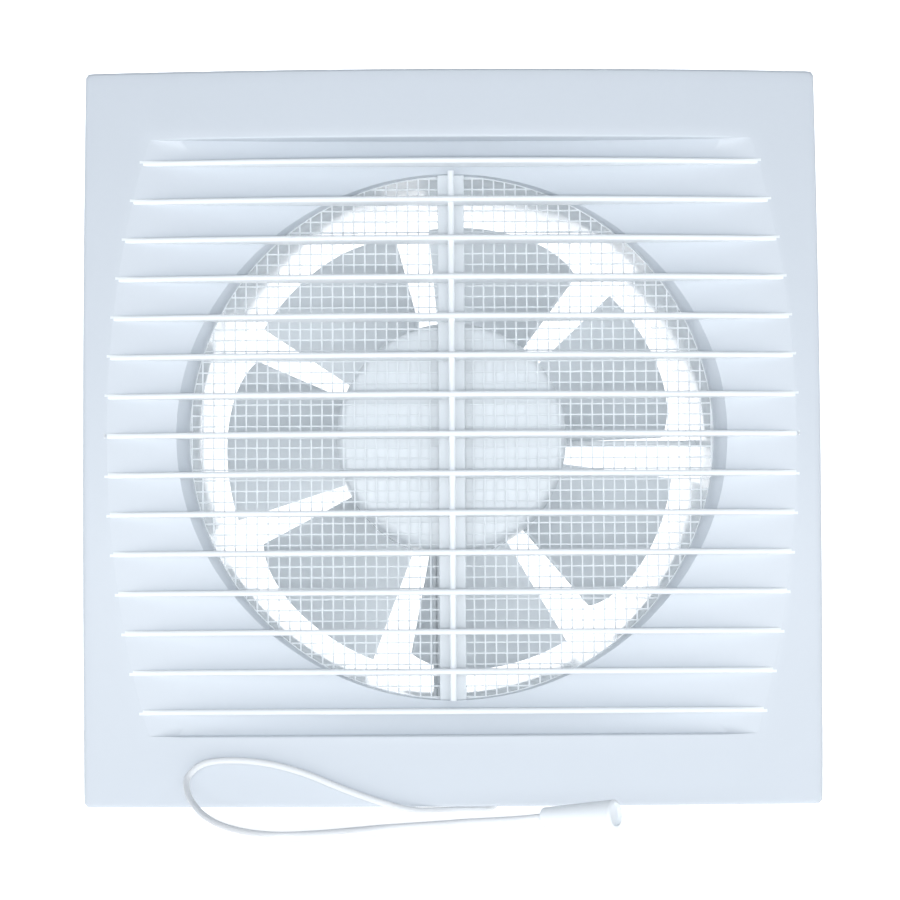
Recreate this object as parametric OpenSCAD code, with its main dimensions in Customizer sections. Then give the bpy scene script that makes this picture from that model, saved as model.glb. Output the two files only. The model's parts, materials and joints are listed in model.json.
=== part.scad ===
// Bathroom extractor fan with a louvred front, insect mesh and pull switch.
// The front faces -Y, the duct runs along +Y and +Z is up.
// The origin is on the duct's axis, in the plane of the wall.

/* [Front cover] */
// Width of the front cover
panel_w = 206.5; // [200:1:260]
// Height of the front cover
panel_h = 207; // [200:1:260]
// Depth of the cover at the middle of an edge
cover_depth = 19.9; // [19:0.1:26]
// Radius of the domed front
dome_r = 850; // [700:10:2000]
// Thickness of the front skin
skin = 2.2; // [1.6:0.1:3]
// Thickness of the cover's side walls
cover_wall = 2; // [1.6:0.1:3]

/* [Grille] */
// Number of slats
slat_count = 15; // [9:2:15]
// Distance from slat to slat
slat_pitch = 11; // [8:0.5:11.5]
// Thickness of a slat
slat_t = 1.6; // [1.2:0.1:2.5]
// Depth of the dished floor behind the middle slat
dish_depth = 10.3; // [8:0.1:11]
// Sideways radius of the dished floor
dish_r = 963; // [900:1:1200]
// Width of the thin rib behind the slats
rib_w = 1.75; // [1.2:0.05:3]
// Width of the flat bar that backs the mesh
bar_w = 7.5; // [5:0.5:10]
// Distance from wire to wire in the mesh
mesh_pitch = 3.05; // [3:0.05:6]
// Thickness of a mesh wire
mesh_wire = 0.4; // [0.3:0.05:0.6]

/* [Housing] */
// Outside diameter of the duct spigot
spigot_d = 148; // [146:1:150]
// Length of the spigot behind the wall plane
spigot_len = 48; // [40:1:70]
// Bore of the duct at its rear rim
rear_bore_d = 142; // [140:0.5:143]
// Bore of the duct at the mesh
front_bore_d = 147.6; // [146:0.2:147.6]
// Thickness of the wall plate
plate_t = 2.5; // [2:0.1:4]
// Distance between the fixing holes, both ways
fixing_span = 178; // [174:1:182]
// Diameter of the fixing holes
fixing_d = 4.5; // [3.5:0.1:5]

/* [Motor] */
// Diameter of the motor cup behind the cap
cup_d = 66; // [66:0.5:72]
// Wall of the motor cup and its cap
cup_wall = 2; // [1.6:0.1:2.4]
// Thickness of the lamination stack
stack_t = 14; // [10:0.5:14]
// Diameter of the rotor
rotor_d = 20; // [18:0.5:21]
// Diameter of the motor shaft
shaft_d = 4; // [3:0.5:5]

/* [Impeller] */
// Number of blades
blade_count = 7; // [5:1:9]
// Tip diameter at the rear corner of a blade
tip_d = 134.6; // [126:0.2:136]
// Diameter of the impeller hub
hub_d = 46; // [40:1:60]
// Depth of the impeller along the shaft
impeller_depth = 24; // [20:0.5:26]
// Angle that one blade covers
blade_span = 42; // [30:1:44]
// Thickness of a blade
blade_t = 1.6; // [1.2:0.1:2.2]

/* [Switch] */
// Sideways place of the pull switch
switch_x = 12.5; // [8:0.5:30]
// Travel of the pull slider
pull_travel = 4; // [3:0.5:4]
// Diameter of the pull cord
cord_d = 1.8; // [1.4:0.1:2]
// Length of the cone-shaped pull
pull_len = 21; // [18:1:30]

/* [Hidden] */

// Clearances
run_gap = 0.03;      // a turning shaft in its bearing
slide_gap = 0.3;     // a moving piece beside a fixed one
seat_gap = 0.2;      // two fixed pieces that seat beside each other
corner_r = 2;        // the cover's vertical corners

// Planes along Y
edge_sag = dome_r - sqrt(dome_r * dome_r - panel_h * panel_h / 4);
apex_y = -cover_depth - edge_sag;
front_bore_r = front_bore_d / 2;
dish_rise_r = 1940;  // the dished floor's up-and-down radius
mesh_y = apex_y + dish_depth + rise(front_bore_r) + skin;
mesh_t = 2 * mesh_wire + 0.02;
collar_y = mesh_y + mesh_t + seat_gap;
cap_y = mesh_y + mesh_t + 1;
spigot_r = spigot_d / 2;
collar_r = front_bore_r + 2.4;
recess_h = (slat_count + 0.2) * slat_pitch;

// Motor
cup_r = cup_d / 2;
cup_in_r = cup_r - cup_wall;
cap_len = 22.4;
cup_y = cap_y + cap_len;
stack_y = cap_y + 12.4;
stack_end = stack_y + stack_t;
bracket_t = 1.6;
boss_len = 7.6;
rear_boss_y = stack_end + boss_len;
cup_floor_y = rear_boss_y + 0.4;
cup_floor_t = 2;
cup_end = cup_floor_y + cup_floor_t;
rotor_r = rotor_d / 2;
rotor_gap = 0.4;
shaft_r = shaft_d / 2;
bearing_r = shaft_r + 2;
boss_r = bearing_r + 2;
bolt_x = 14.5;
bolt_z = 9;
bolt_r = 1.5;
core_half_w = 18;
core_bottom = -15;
bar_bottom = 17;     // underside of the limb that carries the coil
bar_top = 22.5;
coil_t = 3.2;
bobbin_wall = 0.8;
coil_half_w = 10.6;
damper_t = 2;
strut_w = 6;
strut_t = 1.3;
strut_y = cup_end - strut_w;
lead_x = -4.4;       // the two motor wires run down the lower strut
lead_y = (collar_y - plate_t) / 2 - 0.6;
wire_d = 1.05;

// Impeller
blade_y = cup_end + 1.6;
impeller_end = blade_y + impeller_depth;
hub_r = hub_d / 2;
hub_wall = 1.6;
bore_boss_r = 5;
tip_rear_r = tip_d / 2;
tip_front_r = tip_rear_r - 2.2;
first_blade = 43.85;

// Base plate and what stands on it
plate_w = panel_w - 2 * cover_wall - 3 * seat_gap;
plate_h = panel_h - 2 * cover_wall - 3 * seat_gap;
bay_z = -92;         // middle height of the bay below the grille
term_x = -46;
term_w = 24;
term_h = 9;
term_d = 9.5;
clamp_x = -66;
grommet_x = -78;
grommet_r = 5;
cable_r = 3.5;

// Switch
sw_w = 20;
sw_h = 13;
sw_d = 12;
sw_wall = 1.4;
sw_top = bay_z + 5.9;
sw_bottom = sw_top - sw_h;
sw_y = -plate_t;     // the body stands on the wall plate
sw_mid_y = sw_y - sw_d + 3.5;
stem_r = 0.9;
slider_w = 3.8;
drum_r = 2.6;
drum_x = switch_x + slider_w / 2 + slide_gap + 0.1 + drum_r;
drum_z = sw_top - sw_wall - drum_r - 0.7;
drum_half = 2.2;
pivot_r = 0.8;
bush_top = sw_bottom + sw_wall - slide_gap;
spring_flat = 1.3;   // height of the spring when it is pressed flat, with a little to spare
slider_z = bush_top + pull_travel + spring_flat;
slider_h = sw_top - sw_wall - 2 * slide_gap - slider_z;
stem_end = slider_z - 2;
bush_r = 3;
bush_end = -panel_h / 2 + cover_wall - 0.4;
cord_r = cord_d / 2;
cord_y = sw_mid_y;

// The cord's own route, from the bush to the pull, along the surface that it lies on
CORD_ROUTE = [[12.5, -11, -99.2], [12.5, -11, -101.6], [11.6, -11.5, -103.4], [8.8, -13.2, -104.5],
    [2, -16.2, -104.5], [-5.5, -19, -104.5], [-12, -20.9, -104.2], [-19.1, -21.5, -102.4],
    [-30.2, -21.7, -98.5], [-42.1, -21.7, -93.7], [-53.2, -21.4, -90.9], [-63.5, -20.8, -90.3],
    [-69.6, -20.2, -91.3], [-73.2, -20.6, -94], [-74, -22.6, -96.4], [-73.3, -27, -98.9],
    [-71.4, -34, -101.3], [-68.2, -48, -103.2], [-64.1, -64.1, -104.5], [-58.6, -92.3, -104.5],
    [-52.5, -113.9, -104.5], [-46.2, -125.8, -104.5], [-39.6, -127.2, -104.5],
    [-30.1, -117.3, -104.5], [-19.3, -101.4, -104.5], [-6.7, -98, -103.9], [3.4, -93.5, -103.5],
    [12.4, -91.5, -103.2], [18.8, -90.5, -102.8], [22.1, -90, -102.4]];
PULL_END = [40.5, -100.8, -101.4];
pull_small_r = 2.3;
pull_large_r = 3.8;

white = "whitesmoke";
steel = "silver";
copper = "peru";

// ---------- helpers ----------

// Height of a circular arc above its lowest point
function rise(x) = dish_rise_r - sqrt(dish_rise_r * dish_rise_r - x * x);
function unit(v) = v / norm(v);
function flat_to(v, t) = unit(v - t * (v * t));
function along(p, i) =
    unit(p[min(i + 1, len(p) - 1)] - p[max(i - 1, 0)]);

// A smooth route through hand-set points, with n steps to each span
function smooth(p, n) = concat([for (i = [0:len(p) - 2], s = [0:n - 1])
    let (a = p[max(i - 1, 0)], b = p[i], c = p[i + 1], d = p[min(i + 2, len(p) - 1)], t = s / n)
    0.5 * (2 * b + (c - a) * t + (2 * a - 5 * b + 4 * c - d) * t * t
        + (3 * b - a - 3 * c + d) * t * t * t)], [p[len(p) - 1]]);

// Closed skin over a list of loops that all have the same number of points
module skin_over(loops) {
    k = len(loops[0]);
    n = len(loops);
    polyhedron(points = [for (l = loops, p = l) p], faces = concat(
        [[for (j = [0:k - 1]) j]],
        [for (i = [0:n - 2], j = [0:k - 1])
            [i * k + j, (i + 1) * k + j, (i + 1) * k + (j + 1) % k]],
        [for (i = [0:n - 2], j = [0:k - 1])
            [i * k + j, (i + 1) * k + (j + 1) % k, i * k + (j + 1) % k]],
        [[for (j = [k - 1:-1:0]) (n - 1) * k + j]]));
}

// Round tube with its middle on a route
module tube_along(p, r, sides) {
    frames = [for (i = 0, v = flat_to([0.2, 1, 0.1], along(p, 0)); i < len(p);
        i = i + 1, v = i < len(p) ? flat_to(v, along(p, i)) : v) v];
    skin_over([for (i = [0:len(p) - 1])
        let (t = along(p, i), a = frames[i], b = cross(t, a))
        [for (j = [0:sides - 1]) p[i] + r * (a * cos(360 * j / sides) + b * sin(360 * j / sides))]]);
}

// Cylinder along Y from y0 to y1
module rod_y(r, y0, y1, fn = 96) {
    translate([0, y1, 0])
        rotate([90, 0, 0])
            cylinder(r = r, h = y1 - y0, $fn = fn);
}

module ring_y(ro, ri, y0, y1, fn = 96) {
    difference() {
        rod_y(ro, y0, y1, fn);
        rod_y(ri, y0 - 1, y1 + 1, fn);
    }
}

// A profile of (radius, y) turned about the duct's axis
module turned(points, fn = 180) {
    rotate([-90, 0, 0])
        rotate_extrude($fn = fn)
            polygon(points);
}

// Block between two corners
module block(a, b) {
    translate(a)
        cube(b - a);
}

// Flat column along Y with round corners
module column(w, h, r, y0, y1) {
    translate([0, y1, 0])
        rotate([90, 0, 0])
            linear_extrude(y1 - y0) {
                square([w - 2 * r, h], center = true);
                square([w, h - 2 * r], center = true);
                for (x = [-1, 1], z = [-1, 1])
                    translate([x * (w / 2 - r), z * (h / 2 - r)])
                        circle(r = r, $fn = 32);
            }
}

module dome(inset) {
    translate([0, apex_y + dome_r, 0])
        sphere(r = dome_r - inset, $fn = 256);
}

// Everything in front of the dished floor, which lies deeper by the given amount
module before_dish(deeper) {
    steps = 8;
    half_h = panel_h / 2 + 2;
    translate([0, apex_y + dish_depth - dish_r, 0])
        rotate_extrude($fn = 256)
            polygon(concat([[0, -half_h]],
                [for (i = [-steps:steps]) let (z = half_h * i / steps)
                    [dish_r + rise(z) + deeper, z]],
                [[0, half_h]]));
}

// The part of it that lies between two heights, above and below the middle
module recess(deeper, half_h) {
    intersection() {
        before_dish(deeper);
        block([-panel_w, apex_y - 2, -half_h], [panel_w, 2, half_h]);
    }
}

// Two fastener places, opposite each other across the motor's axis
module at_bolts() {
    for (s = [-1, 1])
        translate([s * bolt_x, 0, s * bolt_z])
            children();
}

module at_plate_corners() {
    for (x = [-1, 1], z = [-1, 1])
        translate([x * fixing_span / 2, 0, z * fixing_span / 2])
            children();
}

// ---------- front ----------

module cover_cavity() {
    difference() {
        intersection() {
            column(panel_w - 2 * cover_wall, panel_h - 2 * cover_wall, 1, apex_y - 1, 1);
            dome(skin);
        }
        recess(skin, recess_h / 2 + skin);
    }
}

module cover_shell() {
    difference() {
        union() {
            difference() {
                column(panel_w, panel_h, corner_r, apex_y - 1, 0);
                cover_cavity();
            }
            rod_y(collar_r, apex_y + 2, mesh_y, 180);
        }
        recess(0, recess_h / 2);
        // rounded mouth that leads the air in
        turned([[0, mesh_y + 2], [front_bore_r, mesh_y + 2], [front_bore_r, mesh_y - 2],
            [front_bore_r + 0.4, mesh_y - 3.4], [front_bore_r + 1.2, mesh_y - 4.8],
            [front_bore_r + 2.6, mesh_y - 6.2], [front_bore_r + 2.6, apex_y - 2], [0, apex_y - 2]]);
        // flat seat for the net's rim
        rod_y(collar_r + 1.2, mesh_y, mesh_y + 4, 180);
        // notch for the cord and its bush in the lower wall
        block([switch_x - bush_r - 1, cord_y - bush_r - 0.6, -panel_h / 2 - 1],
            [switch_x + bush_r + 1, 1, -panel_h / 2 + cover_wall + 1]);
        // pockets for the plate's snap lugs
        for (x = [-1, 1], z = [-50, 50])
            translate([x * (panel_w / 2 - cover_wall), -plate_t / 2, z])
                cube([1.6, 1.6, 13], center = true);
    }
}

module slats() {
    intersection() {
        before_dish(0.4);
        for (i = [0:slat_count - 1])
            translate([0, apex_y + 9, (i - (slat_count - 1) / 2) * slat_pitch])
                cube([panel_w - 2 * cover_wall - 0.4, 24, slat_t], center = true);
    }
}

module rib_and_bar() {
    intersection() {
        rod_y(front_bore_r + 1, apex_y, mesh_y, 180);
        union() {
            intersection() {
                block([-rib_w / 2, apex_y + 1, -panel_h / 2], [rib_w / 2, mesh_y - 0.8, panel_h / 2]);
                dome(2);
            }
            block([-bar_w / 2, mesh_y - 1.6, -panel_h / 2], [bar_w / 2, mesh_y, panel_h / 2]);
        }
    }
}

module front_cover() {
    color(white)
        intersection() {
            union() {
                cover_shell();
                slats();
                rib_and_bar();
            }
            dome(0);
        }
}

module mesh_wires(y) {
    n = floor(front_bore_r / mesh_pitch);
    for (i = [-n:n]) {
        half = sqrt(pow(front_bore_r + 0.6, 2) - pow(i * mesh_pitch, 2));
        translate([i * mesh_pitch, y, 0])
            cube([mesh_wire, mesh_wire, 2 * half], center = true);
    }
}

module insect_mesh() {
    color(white) {
        ring_y(collar_r, front_bore_r - 0.2, mesh_y, mesh_y + mesh_t, 180);
        mesh_wires(mesh_y + mesh_wire / 2);
        rotate([0, 90, 0])
            mesh_wires(mesh_y + mesh_t - mesh_wire / 2);
    }
}

// ---------- housing ----------

module strut(angle, offset) {
    rotate([0, -angle, 0])
        translate([0, 0, offset])
            block([cup_in_r + 0.6, strut_y, -strut_t / 2], [spigot_r - 0.6, cup_end, strut_t / 2]);
}

module fan_housing() {
    color(white)
        difference() {
            union() {
                column(plate_w, plate_h, 1, -plate_t, 0);
                rod_y(collar_r, collar_y, -plate_t + 0.5, 180);
                rod_y(spigot_r, -0.5, spigot_len, 180);
                // lugs that snap into the cover's pockets
                for (x = [-1, 1], z = [-50, 50])
                    translate([x * plate_w / 2, -plate_t / 2, z])
                        cube([1, 1.2, 10], center = true);
            }
            turned([[0, collar_y - 1], [front_bore_r, collar_y - 1], [front_bore_r, collar_y + 2],
                [front_bore_r - 1.4, -1], [front_bore_r - 1.6, 3], [rear_bore_d / 2, spigot_len],
                [rear_bore_d / 2, spigot_len + 1], [0, spigot_len + 1]]);
            at_plate_corners()
                rod_y(fixing_d / 2, -plate_t - 1, 1, 48);
            translate([grommet_x, 0, bay_z])
                rod_y(grommet_r, -plate_t - 1, 1, 48);
            // passage for the two motor wires through the collar
            translate([lead_x, lead_y, -collar_r + 2])
                cube([4, 3.4, 12], center = true);
        }
    color(white)
        difference() {
            union() {
                ring_y(cup_r, cup_in_r, cup_y, cup_end);
                rod_y(cup_r - 1, cup_floor_y, cup_end);
                at_bolts()
                    rod_y(3.4, stack_end + bracket_t + damper_t, cup_floor_y + 1, 32);
                strut(0, 0);
                strut(90, 0);
                strut(180, -3);
                strut(270, lead_x);
            }
            rod_y(boss_r + 1, cup_floor_y - 1, cup_end + 1, 48);
            at_bolts()
                rod_y(1.2, stack_end, cup_floor_y + 0.6, 32);
            translate([lead_x, strut_y - 2, -cup_r + 1])
                cube([3.4, 3.4, 8], center = true);
        }
}

module motor_cap() {
    lip_r = cup_in_r - 0.1;
    color(white)
        turned([[2.8, cap_y], [cup_r - 2.6, cap_y], [cup_r - 1.5, cap_y + 0.5],
            [cup_r - 0.8, cap_y + 1.4], [cup_r - 0.5, cap_y + 2.6], [cup_r, cup_y - 0.05],
            [lip_r, cup_y - 0.05], [lip_r, cup_y + 3], [lip_r - 1.2, cup_y + 3],
            [lip_r - 1.2, cap_y + 4], [lip_r - 3, cap_y + 1.8], [2.8, cap_y + 1.8]]);
}

// ---------- motor ----------

module stator_core() {
    color(steel)
        difference() {
            block([-core_half_w, stack_y, core_bottom], [core_half_w, stack_end, bar_top]);
            rod_y(rotor_r + rotor_gap, stack_y - 1, stack_end + 1);
            // window for the coil
            block([-coil_half_w - 0.4, stack_y - 1, bar_bottom - coil_t - bobbin_wall - 0.5],
                [coil_half_w + 0.4, stack_end + 1, bar_bottom]);
            at_bolts()
                rod_y(bolt_r + 0.1, stack_y - 1, stack_end + 1, 32);
            // slots for the shading rings
            for (s = [-1, 1])
                rotate([0, s * 90 - 45, 0])
                    translate([0, (stack_y + stack_end) / 2, -rotor_r - 2.6])
                        cube([1.6, stack_t + 2, 1.6], center = true);
        }
}

module coil_bobbin() {
    coil_out = coil_t + bobbin_wall + 0.1;
    color("ivory")
        difference() {
            union() {
                block([-coil_half_w, stack_y - 0.1 - bobbin_wall, bar_bottom - 0.1 - bobbin_wall],
                    [coil_half_w, stack_end + 0.1 + bobbin_wall, bar_top + 0.1 + bobbin_wall]);
                for (x = [-coil_half_w, coil_half_w - 0.8])
                    block([x, stack_y - coil_out, bar_bottom - coil_out],
                        [x + 0.8, stack_end + coil_out, bar_top + coil_out]);
            }
            block([-coil_half_w - 1, stack_y - 0.1, bar_bottom - 0.1],
                [coil_half_w + 1, stack_end + 0.1, bar_top + 0.1]);
        }
}

module stator_winding() {
    inner = 0.15 + bobbin_wall;
    outer = inner + coil_t - 0.3;
    half = coil_half_w - 0.9;
    color(copper)
        difference() {
            block([-half, stack_y - outer, bar_bottom - outer], [half, stack_end + outer, bar_top + outer]);
            block([-half - 1, stack_y - inner, bar_bottom - inner],
                [half + 1, stack_end + inner, bar_top + inner]);
        }
}

module shading_rings() {
    color(copper)
        for (s = [-1, 1])
            rotate([0, s * 90 - 45, 0])
                translate([0, (stack_y + stack_end) / 2, -rotor_r - 2.6])
                    cube([1.4, stack_t - 0.1, 1.4], center = true);
}

module rotor() {
    color(steel)
        difference() {
            rod_y(rotor_r, stack_y + 0.2, stack_end - 0.2);
            rod_y(shaft_r, stack_y - 1, stack_end + 1);
        }
}

module motor_shaft() {
    color(steel)
        rod_y(shaft_r, stack_y - boss_len + 1.2, impeller_end - 1.6, 64);
}

module washer(y) {
    ring_y(bearing_r - 0.3, shaft_r, y, y + 0.7, 48);
}

module thrust_washers() {
    color("dimgray") {
        washer(stack_y - 0.65);
        washer(stack_end - 0.05);
    }
}

// Cross bar with a round middle that carries a bearing boss
module bracket(y0, boss_y0, boss_y1) {
    reach = sqrt(bolt_x * bolt_x + bolt_z * bolt_z);
    translate([0, y0 + bracket_t, 0])
        rotate([90, 0, 0])
            linear_extrude(bracket_t)
                difference() {
                    union() {
                        rotate(atan2(bolt_z, bolt_x))
                            square([2 * reach, 6], center = true);
                        circle(r = boss_r + 1, $fn = 64);
                        for (s = [-1, 1])
                            translate([s * bolt_x, s * bolt_z])
                                circle(r = 3.6, $fn = 32);
                    }
                    circle(r = bearing_r, $fn = 64);
                    for (s = [-1, 1])
                        translate([s * bolt_x, s * bolt_z])
                            circle(r = bolt_r + 0.1, $fn = 32);
                }
    ring_y(boss_r, bearing_r, boss_y0, boss_y1, 64);
}

module front_bracket() {
    color(steel)
        bracket(stack_y - bracket_t, stack_y - boss_len, stack_y - bracket_t);
}

module rear_bracket() {
    color(steel)
        bracket(stack_end, stack_end + bracket_t, rear_boss_y);
}

module bearing(y0, y1) {
    ring_y(bearing_r, shaft_r + run_gap, y0, y1, 64);
}

module front_bearing() {
    color("goldenrod")
        bearing(stack_y - boss_len + 0.4, stack_y - 0.8);
}

module rear_bearing() {
    color("goldenrod")
        bearing(stack_end + 0.8, rear_boss_y - 0.4);
}

module motor_bolts() {
    color(steel)
        at_bolts() {
            rod_y(2.8, stack_y - bracket_t - 1.8, stack_y - bracket_t, 32);
            rod_y(1.2, stack_y - bracket_t - 1, cup_floor_y + 0.4, 32);
        }
}

module motor_dampers() {
    color("dimgray")
        at_bolts()
            ring_y(3.4, 1.25, stack_end + bracket_t, stack_end + bracket_t + damper_t, 32);
}

// ---------- impeller ----------

// A point of a blade: u runs from its front edge to its rear edge, v from root to tip
function blade_point(u, v, side) =
    let (tip = tip_front_r + (tip_rear_r - tip_front_r) * sqrt(u) - 3 * pow(1 - u, 6),
        r = hub_r - 0.8 + (tip - hub_r + 0.8) * v,
        a = -blade_span * (1 - u),
        lead = impeller_depth * 180 / (blade_span * PI),
        slope = sqrt(r * r + lead * lead),
        half = side * blade_t / 2 * (1 - 0.35 * v),
        y = blade_y + 0.8 + (impeller_depth - 1.6) * u + half * r / slope,
        shift = -half * lead / slope)
    [r * cos(a) - shift * sin(a), y, r * sin(a) + shift * cos(a)];

module blade() {
    along_n = 12;
    across_n = 5;
    skin_over([for (i = [0:along_n]) let (u = i / along_n)
        concat([for (j = [0:across_n]) blade_point(u, j / across_n, -1)],
            [for (j = [across_n:-1:0]) blade_point(u, j / across_n, 1)])]);
}

module impeller() {
    color(white) {
        difference() {
            union() {
                ring_y(hub_r, hub_r - hub_wall, blade_y, impeller_end);
                rod_y(hub_r - 0.5, blade_y, blade_y + hub_wall);
                rod_y(bore_boss_r, blade_y, impeller_end - 6, 64);
                for (i = [0:5])
                    rotate([0, i * 60, 0])
                        block([bore_boss_r - 0.5, blade_y + 1, -0.6],
                            [hub_r - hub_wall + 0.5, blade_y + impeller_depth / 2, 0.6]);
            }
            rod_y(shaft_r, blade_y - 1, impeller_end + 1, 64);
        }
        for (i = [0:blade_count - 1])
            rotate([0, -first_blade - i * 360 / blade_count, 0])
                blade();
    }
}

module impeller_nut() {
    color(white)
        difference() {
            union() {
                rod_y(4.4, impeller_end - 6, impeller_end - 2, 6);
                rod_y(4.6, impeller_end - 6, impeller_end - 5, 48);
            }
            rod_y(shaft_r, impeller_end - 7, impeller_end, 64);
        }
}

// ---------- wiring ----------

module at_terminals() {
    for (x = [-8, 0, 8])
        translate([term_x + x, 0, bay_z])
            children();
}

module terminal_block() {
    color("ivory")
        difference() {
            block([term_x - term_w / 2, -plate_t - term_d, bay_z - term_h / 2],
                [term_x + term_w / 2, -plate_t, bay_z + term_h / 2]);
            at_terminals() {
                rod_y(1.9, -plate_t - term_d - 1, -plate_t - term_d + 5, 32);
                translate([0, -plate_t - 3, 0])
                    cylinder(r = 1.5, h = term_h + 2, center = true, $fn = 32);
            }
            for (x = [-4, 4])
                translate([term_x + x, -plate_t - term_d, bay_z])
                    cube([0.8, 5, term_h + 2], center = true);
        }
}

module terminal_screws() {
    color(steel)
        at_terminals()
            difference() {
                rod_y(1.8, -plate_t - term_d + 1.4, -plate_t - term_d + 4.8, 32);
                translate([0, -plate_t - term_d + 1.4, 0])
                    cube([4, 1.4, 0.6], center = true);
            }
}

module cable_clamp() {
    color(white)
        difference() {
            union() {
                block([clamp_x - 4, -plate_t - 6, bay_z - 8], [clamp_x + 4, -plate_t - 3.4, bay_z + 8]);
                for (s = [-1, 1])
                    translate([clamp_x, 0, bay_z + s * 5.9])
                        rod_y(2.1, -plate_t - 4, -plate_t, 32);
            }
            for (s = [-1, 1])
                translate([clamp_x, 0, bay_z + s * 5.9])
                    rod_y(1.1, -plate_t - 7, -plate_t + 1, 32);
        }
}

module clamp_screws() {
    color(steel)
        for (s = [-1, 1])
            translate([clamp_x, 0, bay_z + s * 5.9])
                difference() {
                    union() {
                        rod_y(2, -plate_t - 7.6, -plate_t - 6, 32);
                        rod_y(1.05, -plate_t - 6.4, -plate_t, 32);
                    }
                    translate([0, -plate_t - 7.6, 0])
                        cube([5, 1.2, 0.6], center = true);
                }
}

module cable_grommet() {
    color("dimgray")
        translate([grommet_x, 0, bay_z])
            difference() {
                union() {
                    rod_y(grommet_r, -plate_t - 1.2, -0.2, 48);
                    rod_y(grommet_r + 1.6, -plate_t - 1.6, -plate_t, 48);
                }
                rod_y(cable_r, -plate_t - 2, 1, 48);
            }
}

wire_y = -plate_t - 3;
LIVE_ROUTE = [[term_x + 8, wire_y, bay_z + 4], [term_x + 8, wire_y, bay_z + 6],
    [term_x + 12, wire_y, bay_z + 7.4], [term_x + 24, wire_y, bay_z + 7.2],
    [switch_x - sw_w / 2 - 8, wire_y, bay_z + 4], [switch_x - sw_w / 2 - 2, wire_y, bay_z + 2.4],
    [switch_x - sw_w / 2, wire_y, bay_z + 2.4]];

// Both motor wires pass the collar, follow the duct wall, run up the lower strut into the
// cup, and go round its wall to the coil; q sets the wire to one side of the pair's middle
function lead_route(q, first) = let (x = lead_x + q, y = strut_y - 1.6) concat(first,
    [[x, lead_y, -collar_r - 1], [x, lead_y, -collar_r + 3], [x, wire_y + 1, -front_bore_r + 3.6],
        [x, 0, -front_bore_r + 3.2], [x, strut_y - 6, -rear_bore_d / 2 + 1.6], [x, y, -rear_bore_d / 2 + 4],
        [x, y + 0.9, -rear_bore_d / 2 + 8], [x, y + 0.9, -50], [x, y + 0.9, -cup_r - 4], [x, y, -cup_r],
        [x, y, -cup_r + 3.4 + q]],
    [for (a = [242, 222, 200, 178, 156, 140]) let (r = cup_in_r - 3.2 - 1.6 * q) [r * cos(a), y, r * sin(a)]],
    [[-14, y, 19.6 - 1.5 * q], [-coil_half_w, y, 20 - 1.5 * q]]);

module motor_live_wire() {
    color("brown")
        tube_along(smooth(lead_route(0.6, [[switch_x - 7, wire_y, sw_top],
            [switch_x - 7, wire_y, sw_top + 1.6], [switch_x - 10, wire_y - 0.6, sw_top + 3.6],
            [lead_x + 3, lead_y + 0.6, sw_top + 5.2]]), 2), wire_d / 2, 8);
}

module motor_neutral_wire() {
    color("royalblue")
        tube_along(smooth(lead_route(-0.6, [[term_x, wire_y, bay_z + 4],
            [term_x, wire_y, bay_z + 7.6], [term_x + 4, wire_y, bay_z + 9.6],
            [term_x + 16, wire_y, bay_z + 10], [lead_x - 5, lead_y + 0.6, sw_top + 5]]), 2),
            wire_d / 2, 8);
}

module live_wire() {
    color("brown")
        tube_along(smooth(LIVE_ROUTE, 3), wire_d / 2, 8);
}

// ---------- pull switch ----------

module switch_hollow(y0, y1) {
    block([switch_x - sw_w / 2 + sw_wall, y0, sw_bottom + sw_wall],
        [switch_x + sw_w / 2 - sw_wall, y1, sw_top - sw_wall]);
}

module at_switch_screws() {
    for (s = [-1, 1])
        translate([switch_x + s * (sw_w / 2 - 2.4), 0, bay_z - s * 3.6])
            children();
}

module switch_body() {
    color(white)
        difference() {
            union() {
                difference() {
                    block([switch_x - sw_w / 2, sw_y - sw_d, sw_bottom],
                        [switch_x + sw_w / 2, sw_y, sw_top]);
                    switch_hollow(sw_y - sw_d - 1, sw_y - 1.4);
                }
                at_switch_screws()
                    rod_y(1.8, sw_y - sw_d, sw_y, 32);
            }
            at_switch_screws()
                rod_y(0.9, sw_y - sw_d - 1, sw_y - 2, 32);
            translate([switch_x, cord_y, sw_bottom - 1])
                cylinder(r = 2.1, h = 3, $fn = 48);
        }
    // pivot for the ratchet drum
    color(white)
        translate([drum_x, 0, drum_z])
            rod_y(pivot_r, cord_y - 0.6, sw_y - 1, 48);
}

module switch_lid() {
    color(white)
        difference() {
            block([switch_x - sw_w / 2, sw_y - sw_d - 1.2, sw_bottom],
                [switch_x + sw_w / 2, sw_y - sw_d, sw_top]);
            at_switch_screws()
                rod_y(1, sw_y - sw_d - 2, sw_y - sw_d + 1, 32);
        }
}

module switch_screws() {
    color(steel)
        at_switch_screws() {
            rod_y(1.6, sw_y - sw_d - 2.2, sw_y - sw_d - 1.2, 32);
            rod_y(0.85, sw_y - sw_d - 1.4, sw_y - 4, 32);
        }
}

module pull_slider() {
    color(white) {
        translate([switch_x, cord_y, slider_z + slider_h / 2])
            cube([slider_w, 2 * drum_half, slider_h], center = true);
        translate([switch_x, cord_y, stem_end])
            cylinder(r = stem_r, h = slider_z - stem_end + 0.5, $fn = 48);
    }
}

module ratchet_drum() {
    color("ivory")
        translate([drum_x, 0, drum_z])
            difference() {
                rod_y(drum_r, cord_y - drum_half, cord_y + drum_half, 48);
                rod_y(pivot_r + 0.05, cord_y - 0.8, cord_y + drum_half + 1, 48);
                for (i = [0:3])
                    rotate([0, 45 + i * 90, 0])
                        translate([drum_r + 0.4, cord_y - 2, 0])
                            cube([1.4, 2, 1], center = true);
            }
}

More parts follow.
